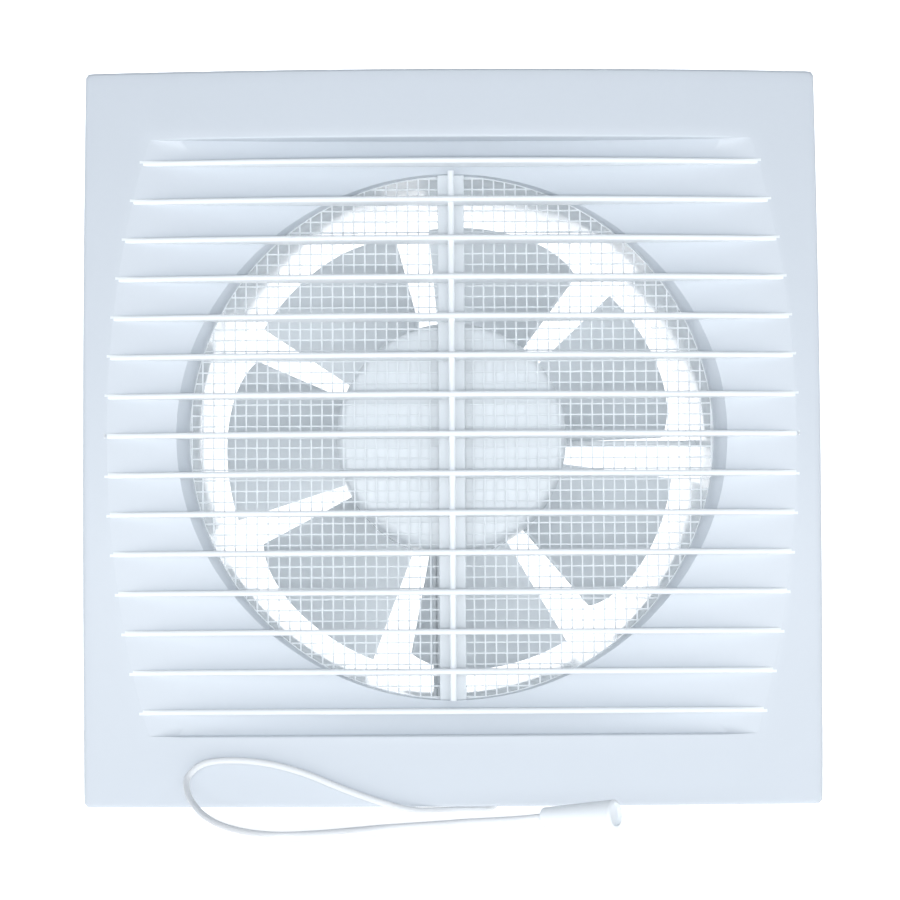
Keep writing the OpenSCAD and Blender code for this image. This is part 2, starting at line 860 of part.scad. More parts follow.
module contact_bridge() {
    color("goldenrod")
        translate([drum_x, 0, drum_z])
            difference() {
                block([-2.3, cord_y + drum_half, -1.2], [2.3, cord_y + drum_half + 0.8, 1.2]);
                rod_y(pivot_r + 0.05, cord_y, cord_y + drum_half + 2, 48);
            }
}

module fixed_contacts() {
    color("goldenrod")
        for (s = [-1, 1])
            translate([drum_x + s * 1.7, 0, drum_z])
                rod_y(0.5, cord_y + drum_half + 1.2, sw_y - 1.4, 32);
}

module return_spring() {
    turns = 3;
    steps = 10;
    wire = 0.15;
    rise_z = slider_z - bush_top - 2 * wire - 0.04;
    color(steel)
        tube_along([for (i = [0:turns * steps])
            [switch_x + 1.4 * cos(360 * i / steps), cord_y + 1.4 * sin(360 * i / steps),
                bush_top + wire + 0.02 + rise_z * i / (turns * steps)]], wire, 6);
}

module cord_bush() {
    color(white)
        translate([switch_x, cord_y, 0])
            difference() {
                union() {
                    translate([0, 0, bush_end])
                        cylinder(r = bush_r, h = sw_bottom - bush_end, $fn = 48);
                    translate([0, 0, sw_bottom - 0.5])
                        cylinder(r = 2.05, h = bush_top - sw_bottom + 0.5, $fn = 48);
                }
                translate([0, 0, bush_end + 0.8])
                    cylinder(r = stem_r + 0.15, h = 8, $fn = 48);
                translate([0, 0, bush_end - 1])
                    cylinder(r = cord_r - 0.05, h = 3, $fn = 48);
            }
}

module pull_cord() {
    color(white)
        tube_along(smooth(CORD_ROUTE, 2), cord_r, 8);
}

module cord_pull() {
    start = CORD_ROUTE[len(CORD_ROUTE) - 1];
    way = PULL_END - start;
    color(white)
        translate(start)
            rotate([0, acos(way[2] / norm(way)), atan2(way[1], way[0])])
                cylinder(r1 = pull_small_r, r2 = pull_large_r, h = pull_len, $fn = 64);
}

front_cover();
insect_mesh();
fan_housing();
motor_cap();
stator_core();
coil_bobbin();
stator_winding();
shading_rings();
rotor();
motor_shaft();
thrust_washers();
front_bracket();
rear_bracket();
front_bearing();
rear_bearing();
motor_bolts();
motor_dampers();
impeller();
impeller_nut();
terminal_block();
terminal_screws();
cable_clamp();
clamp_screws();
cable_grommet();
live_wire();
motor_live_wire();
motor_neutral_wire();
switch_body();
switch_lid();
pull_slider();
ratchet_drum();
contact_bridge();
fixed_contacts();
return_spring();
switch_screws();
cord_bush();
pull_cord();
cord_pull();
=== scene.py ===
"""Looks for a square bathroom extractor fan with a louvred front and a pull cord."""

import json
import math

import bmesh
import bpy
from mathutils import Matrix, Vector

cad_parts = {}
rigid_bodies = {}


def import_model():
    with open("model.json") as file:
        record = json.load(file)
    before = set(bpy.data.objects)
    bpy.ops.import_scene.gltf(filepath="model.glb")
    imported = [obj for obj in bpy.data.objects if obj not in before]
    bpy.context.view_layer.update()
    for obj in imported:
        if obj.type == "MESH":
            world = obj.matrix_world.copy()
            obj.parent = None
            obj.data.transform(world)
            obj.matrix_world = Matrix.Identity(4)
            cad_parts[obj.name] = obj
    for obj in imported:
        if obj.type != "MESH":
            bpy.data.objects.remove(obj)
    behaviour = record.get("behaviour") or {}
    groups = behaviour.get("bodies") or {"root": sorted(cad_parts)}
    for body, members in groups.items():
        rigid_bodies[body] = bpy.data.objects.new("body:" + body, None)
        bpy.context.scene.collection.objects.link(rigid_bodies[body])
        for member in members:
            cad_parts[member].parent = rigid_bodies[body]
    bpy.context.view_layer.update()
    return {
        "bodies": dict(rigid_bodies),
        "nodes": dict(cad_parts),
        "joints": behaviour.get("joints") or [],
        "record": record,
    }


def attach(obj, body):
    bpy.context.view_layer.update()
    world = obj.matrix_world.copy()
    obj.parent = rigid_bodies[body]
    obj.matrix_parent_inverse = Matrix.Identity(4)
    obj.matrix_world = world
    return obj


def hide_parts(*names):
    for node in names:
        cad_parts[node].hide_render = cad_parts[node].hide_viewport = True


bl_info = {
    "name": "Bathroom extractor fan looks",
    "version": (1, 0, 0),
    "blender": (4, 5, 0),
    "location": "View3D > Sidebar > Fan",
    "description": "Builds the cover, impeller, duct, net, cord and materials of an extractor fan",
    "category": "Object",
}

MM = 0.001
FLOOR_Z = -0.1054
APEX = -0.026225
DOME = 0.850
DISH_Y = APEX + 0.0103
MESH_Y = -0.012321
COLLAR_Y = -0.011301
CAP_Y = -0.010501
IMPELLER_Y = 0.027499
IMPELLER_END = 0.051499
SLAT_PITCH = 0.011
NET_PITCH = 0.00305
RIB_WIDTH = 0.00175
BUSH_X = 0.0125
BLADES = 7
FIRST_BLADE = 43.85
CORD_ROUTE = [
    (12.5, -11, -99.2), (12.5, -11, -101.6), (11.6, -11.5, -103.4), (8.8, -13.2, -104.5),
    (2, -16.2, -104.5), (-5.5, -19, -104.5), (-12, -20.9, -104.2), (-19.1, -21.5, -102.4),
    (-30.2, -21.7, -98.5), (-42.1, -21.7, -93.7), (-53.2, -21.4, -90.9), (-63.5, -20.8, -90.3),
    (-69.6, -20.2, -91.3), (-73.2, -20.6, -94), (-74, -22.6, -96.4), (-73.3, -27, -98.9),
    (-71.4, -34, -101.3), (-68.2, -48, -103.2), (-64.1, -64.1, -104.5), (-58.6, -92.3, -104.5),
    (-52.5, -113.9, -104.5), (-46.2, -125.8, -104.5), (-39.6, -127.2, -104.5),
    (-30.1, -117.3, -104.5), (-19.3, -101.4, -104.5), (-6.7, -98, -103.9), (3.4, -93.5, -103.5),
    (12.4, -91.5, -103.2), (18.8, -90.5, -102.8), (22.1, -90, -102.4)]
PULL_END = (40.5, -100.8, -101.4)


def colour(name, default, words):
    return bpy.props.FloatVectorProperty(
        name=name, description=words, subtype="COLOR", size=4, min=0, max=1, default=default)


def length(name, default, words):
    return bpy.props.FloatProperty(
        name=name, description=words, unit="LENGTH", subtype="DISTANCE", default=default,
        precision=4)


class FAN_PG_settings(bpy.types.PropertyGroup):
    panel_w: length("Front width", 0.2065, "Width of the front")
    panel_h: length("Front height", 0.207, "Height of the front")
    slat: length("Slat thickness", 0.0016, "Thickness of a slat")
    slat_round: length("Slat rounding", 0.00065, "Radius along the front edges of the slats")
    edge_round: length("Front rounding", 0.0011, "Radius round the edge of the front")
    corner: length("Corner radius", 0.0014, "Radius of the upright corners of the front")
    wire: length("Net strand", 0.0005, "Thickness of a strand of the net")
    blade: length("Blade thickness", 0.0016, "Thickness of an impeller blade at its root")
    cord: length("Cord thickness", 0.0018, "Diameter of the pull cord")
    # One white plastic in three strengths: white, used on the front and small mouldings, is darkened
    # as painted shade; duct and blade_white, used on the slats, rib, motor cap and impeller, are
    # brightened as painted light.
    white: colour("White plastic", (0.66, 0.70, 0.745, 1), "Colour of the white mouldings")
    duct: colour("Duct plastic", (0.90, 0.93, 0.95, 1), "Colour of the duct's wall")
    blade_white: colour("Impeller plastic", (0.91, 0.94, 0.96, 1), "Colour of the impeller")
    net: colour("Net", (0.90, 0.93, 0.95, 1), "Colour of the net")
    cord_colour: colour("Cord", (0.85, 0.86, 0.87, 1), "Colour of the cord")
    floor: colour("Floor", (0.9, 0.9, 0.9, 1), "Colour of the floor")


def settings():
    return bpy.context.scene.fan_settings


# ---------- mesh helpers ----------

def new_object(name, bm, body="fan_case", smooth=35):
    bmesh.ops.recalc_face_normals(bm, faces=bm.faces)
    mesh = bpy.data.meshes.new(name)
    bm.to_mesh(mesh)
    bm.free()
    obj = bpy.data.objects.new(name, mesh)
    bpy.context.scene.collection.objects.link(obj)
    mesh.shade_smooth()
    mesh.set_sharp_from_angle(angle=math.radians(smooth))
    if body:
        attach(obj, body)
    return obj


def quads(bm, rings, closed=True):
    """Faces between rows of vertices that all have the same number."""
    for a, b in zip(rings, rings[1:]):
        n = len(a)
        for j in range(n if closed else n - 1):
            k = (j + 1) % n
            bm.faces.new((a[j], b[j], b[k], a[k]))


def turned(bm, profile, steps=160, centre=(0, 0), close=True):
    """Turns a profile of (radius, y) points about a line along Y."""
    cx, cz = centre
    rings = []
    for r, y in profile:
        rings.append([
            bm.verts.new((cx + r * math.cos(2 * math.pi * i / steps), y,
                          cz + r * math.sin(2 * math.pi * i / steps)))
            for i in range(steps)])
    if close:
        rings.append(rings[0])
    quads(bm, rings)
    return rings


def box(bm, low, high, rounding=0.0, segments=2):
    made = bmesh.ops.create_cube(bm, size=1.0)
    for v in made["verts"]:
        v.co = Vector([lo + (c + 0.5) * (hi - lo) for c, lo, hi in zip(v.co, low, high)])
    if rounding:
        edges = list({e for v in made["verts"] for e in v.link_edges})
        bmesh.ops.bevel(bm, geom=edges, offset=rounding, offset_type="OFFSET", segments=segments,
                        profile=0.5, affect="EDGES", material=-1)


def arc(cx, cy, r, a0, a1, n):
    """Points of an arc in the profile plane, angles in degrees."""
    out = []
    for i in range(n + 1):
        a = math.radians(a0 + (a1 - a0) * i / n)
        out.append((cx + r * math.cos(a), cy + r * math.sin(a)))
    return out


def dome_y(x, z):
    """Front face of the cover, part of a ball."""
    return APEX + DOME - math.sqrt(DOME ** 2 - x * x - z * z)


def dish_y(x, z):
    """Floor of the recess, curved more across than upright."""
    r = 0.963 + 1.940 - math.sqrt(1.940 ** 2 - z * z)
    return DISH_Y - 0.963 + math.sqrt(r * r - x * x)


# ---------- materials ----------

def sockets(group, inputs, outputs):
    for name, kind, default in inputs:
        made = group.interface.new_socket(name=name, in_out="INPUT", socket_type=kind)
        made.default_value = default
    for name, kind in outputs:
        group.interface.new_socket(name=name, in_out="OUTPUT", socket_type=kind)


def moulded_group():
    """Slow waviness and fine grain of a moulded face, and faint dust in its colour."""
    name = "Moulded plastic"
    if name in bpy.data.node_groups:
        return bpy.data.node_groups[name]
    g = bpy.data.node_groups.new(name, "ShaderNodeTree")
    sockets(g, [("Colour", "NodeSocketColor", (0.8, 0.8, 0.8, 1)),
                ("Roughness", "NodeSocketFloat", 0.3),
                ("Waviness", "NodeSocketFloat", 0.05)],
            [("Colour", "NodeSocketColor"), ("Roughness", "NodeSocketFloat"),
             ("Normal", "NodeSocketVector")])
    n, link = g.nodes, g.links.new
    given, out = n.new("NodeGroupInput"), n.new("NodeGroupOutput")
    coords = n.new("ShaderNodeTexCoord")
    wave = n.new("ShaderNodeTexNoise")
    wave.inputs["Scale"].default_value = 18
    wave.inputs["Detail"].default_value = 1
    grain = n.new("ShaderNodeTexNoise")
    grain.inputs["Scale"].default_value = 900
    grain.inputs["Detail"].default_value = 2
    link(coords.outputs["Object"], wave.inputs["Vector"])
    link(coords.outputs["Object"], grain.inputs["Vector"])
    bump = n.new("ShaderNodeBump")
    bump.inputs["Distance"].default_value = 0.002
    link(given.outputs["Waviness"], bump.inputs["Strength"])
    link(wave.outputs["Fac"], bump.inputs["Height"])
    fine = n.new("ShaderNodeBump")
    fine.inputs["Distance"].default_value = 0.00002
    fine.inputs["Strength"].default_value = 0.15
    link(grain.outputs["Fac"], fine.inputs["Height"])
    link(bump.outputs["Normal"], fine.inputs["Normal"])
    link(fine.outputs["Normal"], out.inputs["Normal"])
    rough = n.new("ShaderNodeMath")
    rough.operation = "MULTIPLY_ADD"
    rough.inputs[1].default_value = 0.06
    link(grain.outputs["Fac"], rough.inputs[0])
    link(given.outputs["Roughness"], rough.inputs[2])
    link(rough.outputs[0], out.inputs["Roughness"])
    tint = n.new("ShaderNodeMapRange")
    tint.inputs["To Min"].default_value = 0.985
    tint.inputs["To Max"].default_value = 1.0
    link(wave.outputs["Fac"], tint.inputs["Value"])
    mix = n.new("ShaderNodeVectorMath")
    mix.operation = "SCALE"
    link(given.outputs["Colour"], mix.inputs[0])
    link(tint.outputs["Result"], mix.inputs["Scale"])
    link(mix.outputs["Vector"], out.inputs["Colour"])
    return g


def plastic(name, rgba, roughness=0.3, waviness=0.05, coat=0.0):
    mat = bpy.data.materials.new(name)
    mat.use_nodes = True
    n, link = mat.node_tree.nodes, mat.node_tree.links.new
    shader = n["Principled BSDF"]
    group = n.new("ShaderNodeGroup")
    group.node_tree = moulded_group()
    group.inputs["Colour"].default_value = rgba
    group.inputs["Roughness"].default_value = roughness
    group.inputs["Waviness"].default_value = waviness
    link(group.outputs["Colour"], shader.inputs["Base Color"])
    link(group.outputs["Roughness"], shader.inputs["Roughness"])
    link(group.outputs["Normal"], shader.inputs["Normal"])
    shader.inputs["IOR"].default_value = 1.5
    shader.inputs["Coat Weight"].default_value = coat
    shader.inputs["Coat Roughness"].default_value = 0.08
    return mat


def metal(name, rgba, roughness=0.35, streak=60):
    mat = bpy.data.materials.new(name)
    mat.use_nodes = True
    n, link = mat.node_tree.nodes, mat.node_tree.links.new
    shader = n["Principled BSDF"]
    shader.inputs["Base Color"].default_value = rgba
    shader.inputs["Metallic"].default_value = 1
    coords, noise = n.new("ShaderNodeTexCoord"), n.new("ShaderNodeTexNoise")
    stretch, spread = n.new("ShaderNodeMapping"), n.new("ShaderNodeMapRange")
    stretch.inputs["Scale"].default_value = (streak, streak * 12, streak)
    noise.inputs["Scale"].default_value = 8
    spread.inputs["To Min"].default_value = roughness * 0.8
    spread.inputs["To Max"].default_value = roughness * 1.3
    link(coords.outputs["Object"], stretch.inputs["Vector"])
    link(stretch.outputs["Vector"], noise.inputs["Vector"])
    link(noise.outputs["Fac"], spread.inputs["Value"])
    link(spread.outputs["Result"], shader.inputs["Roughness"])
    return mat


def give(obj, mat):
    obj.data.materials.clear()
    obj.data.materials.append(mat)


# ---------- camera, cord and stage ----------

class FAN_OT_camera(bpy.types.Operator):
    """Places the camera in front of the fan, a little below its middle and looking slightly up"""

    bl_idname = "fan.camera"
    bl_label = "Camera"

    def execute(self, context):
        data = bpy.data.cameras.new("Camera")
        data.lens = 124.8
        data.sensor_width = 36
        data.clip_start = 0.01
        data.dof.use_dof = False
        obj = bpy.data.objects.new("Camera", data)
        obj.location = (-0.007, -0.890, -0.058)
        look = Vector((-0.0006, -0.020, -0.0043)) - obj.location
        turn = look.to_track_quat("-Z", "Y").to_matrix().to_4x4()
        roll = math.radians(0.31)
        obj.rotation_euler = (turn @ Matrix.Rotation(-roll, 4, "Z")).to_euler()
        context.scene.collection.objects.link(obj)
        context.scene.camera = obj
        return {"FINISHED"}


def smooth_route(route, n):
    out = []
    for i in range(len(route) - 1):
        a, b = Vector(route[max(i - 1, 0)]), Vector(route[i])
        c, d = Vector(route[i + 1]), Vector(route[min(i + 2, len(route) - 1)])
        for s in range(n):
            t = s / n
            out.append(0.5 * (2 * b + (c - a) * t + (2 * a - 5 * b + 4 * c - d) * t * t
                              + (3 * b - a - 3 * c + d) * t ** 3))
    return out + [Vector(route[-1])]


class FAN_OT_cord(bpy.types.Operator):
    """Lays the pull cord along the front and onto the floor, with its cone-shaped pull"""

    bl_idname = "fan.cord"
    bl_label = "Cord and pull"

    def execute(self, context):
        s = settings()
        points = [p * MM for p in smooth_route(CORD_ROUTE, 4)]
        curve = bpy.data.curves.new("pull_cord_line", "CURVE")
        curve.dimensions = "3D"
        curve.bevel_depth = 1.0  # times each point's radius
        curve.bevel_resolution = 4
        curve.use_fill_caps = True
        line = curve.splines.new("POLY")
        line.points.add(len(points) - 1)
        for point, co in zip(line.points, points):
            point.co = (*co, 1)
            point.radius = s.cord / 2
        cord = bpy.data.objects.new("pull_cord_look", curve)
        context.scene.collection.objects.link(cord)
        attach(cord, "fan_case")
        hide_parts("pull_cord")
        bm = bmesh.new()
        r0, r1, h = 0.0023, 0.0038, 0.021
        profile = [(0.0012, 0.0)]
        profile += arc(r0 - 0.0006, 0.0006, 0.0006, -90, 5, 4)
        profile += arc(r1 - 0.0008, h - 0.0008, 0.0008, 5, 90, 5)
        profile += [(0.003, h), (0.0028, h - 0.001)]
        rings = turned(bm, profile, steps=48, close=False)
        bm.faces.new(rings[0])
        bm.faces.new(list(reversed(rings[-1])))
        start, end = Vector(CORD_ROUTE[-1]) * MM, Vector(PULL_END) * MM
        place = Vector((0, 1, 0)).rotation_difference(end - start).to_matrix().to_4x4()
        place.translation = start
        bmesh.ops.transform(bm, matrix=place, verts=bm.verts)
        pull = new_object("cord_pull_look", bm)
        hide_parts("cord_pull")
        give(pull, plastic("Pull plastic", s.duct, 0.35))
        mat = bpy.data.materials.new("Braided cord")
        mat.use_nodes = True
        n, link = mat.node_tree.nodes, mat.node_tree.links.new
        shader = n["Principled BSDF"]
        shader.inputs["Base Color"].default_value = s.cord_colour
        shader.inputs["Roughness"].default_value = 0.75
        shader.inputs["Sheen Weight"].default_value = 0.2
        coords, wave, bump = (n.new("ShaderNodeTexCoord"), n.new("ShaderNodeTexVoronoi"),
                              n.new("ShaderNodeBump"))
        wave.inputs["Scale"].default_value = 1400
        bump.inputs["Distance"].default_value = 0.0001
        bump.inputs["Strength"].default_value = 0.5
        link(coords.outputs["Object"], wave.inputs["Vector"])
        link(wave.outputs["Distance"], bump.inputs["Height"])
        link(bump.outputs["Normal"], shader.inputs["Normal"])
        give(cord, mat)
        return {"FINISHED"}


# ---------- front cover ----------

def square_edge(angle, half_x, half_z, corner):
    """Where a ray from the middle meets a rectangle with round corners."""
    c, s = math.cos(angle), math.sin(angle)
    t = min(half_x / max(abs(c), 1e-9), half_z / max(abs(s), 1e-9))
    x, z = c * t, s * t
    if abs(x) > half_x - corner and abs(z) > half_z - corner:
        qx = math.copysign(half_x - corner, x)
        qz = math.copysign(half_z - corner, z)
        b = c * qx + s * qz
        t = b + math.sqrt(max(b * b - (qx * qx + qz * qz - corner * corner), 0))
    return t


def recess_edge(angle):
    """Where a ray meets the outline of the recess: the dish meeting the dome, or a level edge."""
    c, s = math.cos(angle), math.sin(angle)
    top = 0.0836 / abs(s) if abs(s) > 1e-6 else 1.0
    low, high = 0.06, min(top, 0.14)
    if dish_y(high * c, high * s) > dome_y(high * c, high * s):
        return high
    for _ in range(40):
        mid = (low + high) / 2
        if dish_y(mid * c, mid * s) > dome_y(mid * c, mid * s):
            low = mid
        else:
            high = mid
    return low


def lip_radius(y):
    points = [(-0.0260, 0.0800), (-0.0188, 0.0770), (-0.0175, 0.0759), (-0.0165, 0.0752),
              (-0.0155, 0.07465), (-0.0145, 0.0742), (-0.0135, 0.07395), (-0.0123, 0.0738)]
    for (y0, r0), (y1, r1) in zip(points, points[1:]):
        if y <= y1:
            return r0 + (r1 - r0) * (y - y0) / (y1 - y0)
    return points[-1][1]


class FAN_OT_cover(bpy.types.Operator):
    """Builds the domed square front with its dished floor, lip and soft edges"""

    bl_idname = "fan.cover"
    bl_label = "Front cover"

    def execute(self, context):
        s = settings()
        hx, hz, steps, rim = s.panel_w / 2, s.panel_h / 2, 720, s.edge_round
        angles = [2 * math.pi * (i + 0.5) / steps for i in range(steps)]
        bm = bmesh.new()
        columns = []
        for a in angles:
            c, d = math.cos(a), math.sin(a)
            column = []

            def put(r, y):
                column.append((r * c, y, r * d))

            # throat from the back to the dished floor
            low, high = -0.026, MESH_Y
            for _ in range(40):
                mid = (low + high) / 2
                r = lip_radius(mid)
                if dish_y(r * c, r * d) < mid:
                    high = mid
                else:
                    low = mid
            join = low
            put(0.0762, MESH_Y)
            for k in range(9):
                y = MESH_Y + (join - MESH_Y) * k / 8
                put(lip_radius(y), y)
            r_in = lip_radius(join)
            # dished floor out to the recess's outline
            r_out = recess_edge(a)
            for k in range(1, 9):
                r = r_in + (r_out - r_in) * (k if k < 8 else 7.94) / 8
                put(r, dish_y(r * c, r * d))
            # small step or none, rounded where it meets the dome
            y0, y1 = dish_y(r_out * c, r_out * d), dome_y(r_out * c, r_out * d)
            soft = min(0.0007, max((y0 - y1) * 0.4, 0.00002))
            put(r_out, y0 - soft * 0.3)
            for k in range(5):
                t = math.radians(90 * k / 4)
                r = r_out + soft * (1 - math.cos(t))
                put(r, dome_y(r * c, r * d) + soft * (1 - math.sin(t)))
            # dome out to the rounded edge
            edge = square_edge(a, hx, hz, s.corner)
            inner = square_edge(a, hx - rim, hz - rim, max(s.corner - rim, 0.0005))
            start = r_out + soft
            for k in range(1, 7):
                r = start + (inner - start) * k / 6
                put(r, dome_y(r * c, r * d))
            y_edge = dome_y(edge * c, edge * d)
            for k in range(1, 6):
                t = math.radians(90 * k / 5)
                r = inner + (edge - inner) * math.sin(t)
                y_inner = dome_y(inner * c, inner * d)
                put(r, y_inner + (y_edge - y_inner) * math.sin(t) + rim * (1 - math.cos(t)))
            notched = d < 0 and abs(edge * c - BUSH_X) < 0.0042 and abs(edge * d) > 0.1
            wall_back = -0.0146 if notched else -0.0002
            put(edge, min(-0.008, wall_back - 0.0005))
            put(edge, wall_back)
            r = square_edge(a, hx - 0.002, hz - 0.002, 0.001)
            put(r, wall_back + 0.0002)
            put(r, min(-0.006, wall_back - 0.0005))
            put(r, min(dome_y(r * c, r * d) + 0.0045, -0.009))
            # back of the front skin
            back = square_edge(a, hx - 0.0028, hz - 0.0028, 0.001)
            put(back, dome_y(back * c, back * d) + 0.0024)
            for k in range(1, 5):
                r = back + (r_out + 0.003 - back) * k / 4
                put(r, max(dome_y(r * c, r * d) + 0.0023, min(y0 + 0.0022, -0.0128)
                           if k == 4 else -1))
            for k in range(1, 4):
                r = r_out + 0.002 + (0.0764 - r_out - 0.002) * k / 3
                put(r, min(dish_y(r * c, r * d) + 0.0022, MESH_Y))
            columns.append(column)
        rings = [[bm.verts.new(column[k]) for column in columns] for k in range(len(columns[0]))]
        rings.append(rings[0])
        quads(bm, rings)
        cover = new_object("front_cover_look", bm, smooth=40)
        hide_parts("front_cover")
        # The front takes the darkened white, a painted shade, though its slats and rib are the same
        # moulding.
        give(cover, plastic("Cover plastic", s.white, 0.32, 0.04))
        return {"FINISHED"}


class FAN_OT_slats(bpy.types.Operator):
    """Builds the slats, each with a rounded nose that follows the dome, and the upright rib"""

    bl_idname = "fan.slats"
    bl_label = "Slats and rib"

    def execute(self, context):
        s = settings()
        bm = bmesh.new()
        half_t, nose = s.slat / 2, s.slat_round
        for i in range(-7, 8):
            z0 = i * SLAT_PITCH
            # half length: where the dome meets the dished floor
            low, high = 0.05, 0.1
            for _ in range(40):
                mid = (low + high) / 2
                if dish_y(mid, z0) > dome_y(mid, z0):
                    low = mid
                else:
                    high = mid
            reach = low + 0.0009
            rings = []
            for k in range(61):
                u = -1 + 2 * k / 60
                x = reach * math.copysign(1 - (1 - abs(u)) ** 1.25, u)
                front = dome_y(x, z0)
                rear = max(dish_y(x, z0) + 0.0004, front + 0.0003)
                n = min(nose, (rear - front) * 0.45)
                profile = [(z0 - half_t, rear)]
                profile += [(z0 - half_t + n * (1 - math.cos(math.radians(t))),
                             front + n * (1 - math.sin(math.radians(t)))) for t in (0, 30, 60, 90)]
                profile += [(z0 + half_t - n * (1 - math.sin(math.radians(t))),
                             front + n * (1 - math.cos(math.radians(t)))) for t in (0, 30, 60, 90)]
                profile += [(z0 + half_t, rear)]
                rings.append([bm.verts.new((x, y, z)) for z, y in profile])
            quads(bm, rings)
            bm.faces.new(rings[0])
            bm.faces.new(list(reversed(rings[-1])))
        slats = new_object("slats_look", bm, smooth=50)
        # The slats take the brighter duct white, not the front's white they are moulded with: painted
        # light.
        give(slats, plastic("Slat plastic", s.duct, 0.3, 0.03))
        bm = bmesh.new()
        w = RIB_WIDTH / 2
        rings = []
        for k in range(41):
            z = -0.0742 + 0.1484 * k / 40
            front = dome_y(0, z) + 0.0018
            rings.append([bm.verts.new(p) for p in (
                (-w, MESH_Y - 0.001, z), (-w, front + 0.0003, z), (-w + 0.0003, front, z),
                (w - 0.0003, front, z), (w, front + 0.0003, z), (w, MESH_Y - 0.001, z))])
        quads(bm, rings)
        bm.faces.new(rings[0])
        bm.faces.new(list(reversed(rings[-1])))
        box(bm, (-0.00375, MESH_Y - 0.0016, -0.0740), (0.00375, MESH_Y - 0.00002, 0.0740), 0.0003)
        rib = new_object("rib_look", bm, smooth=50)
        # The rib takes the brighter duct white, not the front's white: painted light.
        give(rib, plastic("Rib plastic", s.duct, 0.3, 0.03))
        return {"FINISHED"}


class FAN_OT_net(bpy.types.Operator):
    """Builds the fine insect net with its rim"""

    bl_idname = "fan.net"
    bl_label = "Insect net"

    def execute(self, context):
        s = settings()
        bm = bmesh.new()
        w, pitch, reach = s.wire / 2, NET_PITCH, 0.0745
        for axis in (0, 2):
            y = MESH_Y + (0.00024 if axis == 0 else 0.00058)
            for i in range(-24, 25):
                p = i * pitch
                half = math.sqrt(max(reach ** 2 - p * p, 0))
                if half < 0.004:
                    continue
                rows = []
                for e in (-half, half):
                    row = []
                    for k in range(6):
                        a = math.radians(60 * k + 30)
                        q, v = p + w * math.cos(a), y + 0.00024 * math.sin(a)
                        row.append(bm.verts.new((q, v, e) if axis == 0 else (e, v, q)))
                    rows.append(row)
                quads(bm, rows)
                bm.faces.new(rows[0])
                bm.faces.new(list(reversed(rows[1])))
        turned(bm, [(0.0736, MESH_Y + 0.00005), (0.0761, MESH_Y + 0.00005),
                    (0.0761, MESH_Y + 0.0008), (0.0736, MESH_Y + 0.0008)], 128)
        net = new_object("insect_net_look", bm, smooth=60)
        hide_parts("insect_mesh")
        give(net, plastic("Net plastic", s.net, 0.45, 0.0))
        return {"FINISHED"}


# ---------- motor cap, housing and impeller ----------

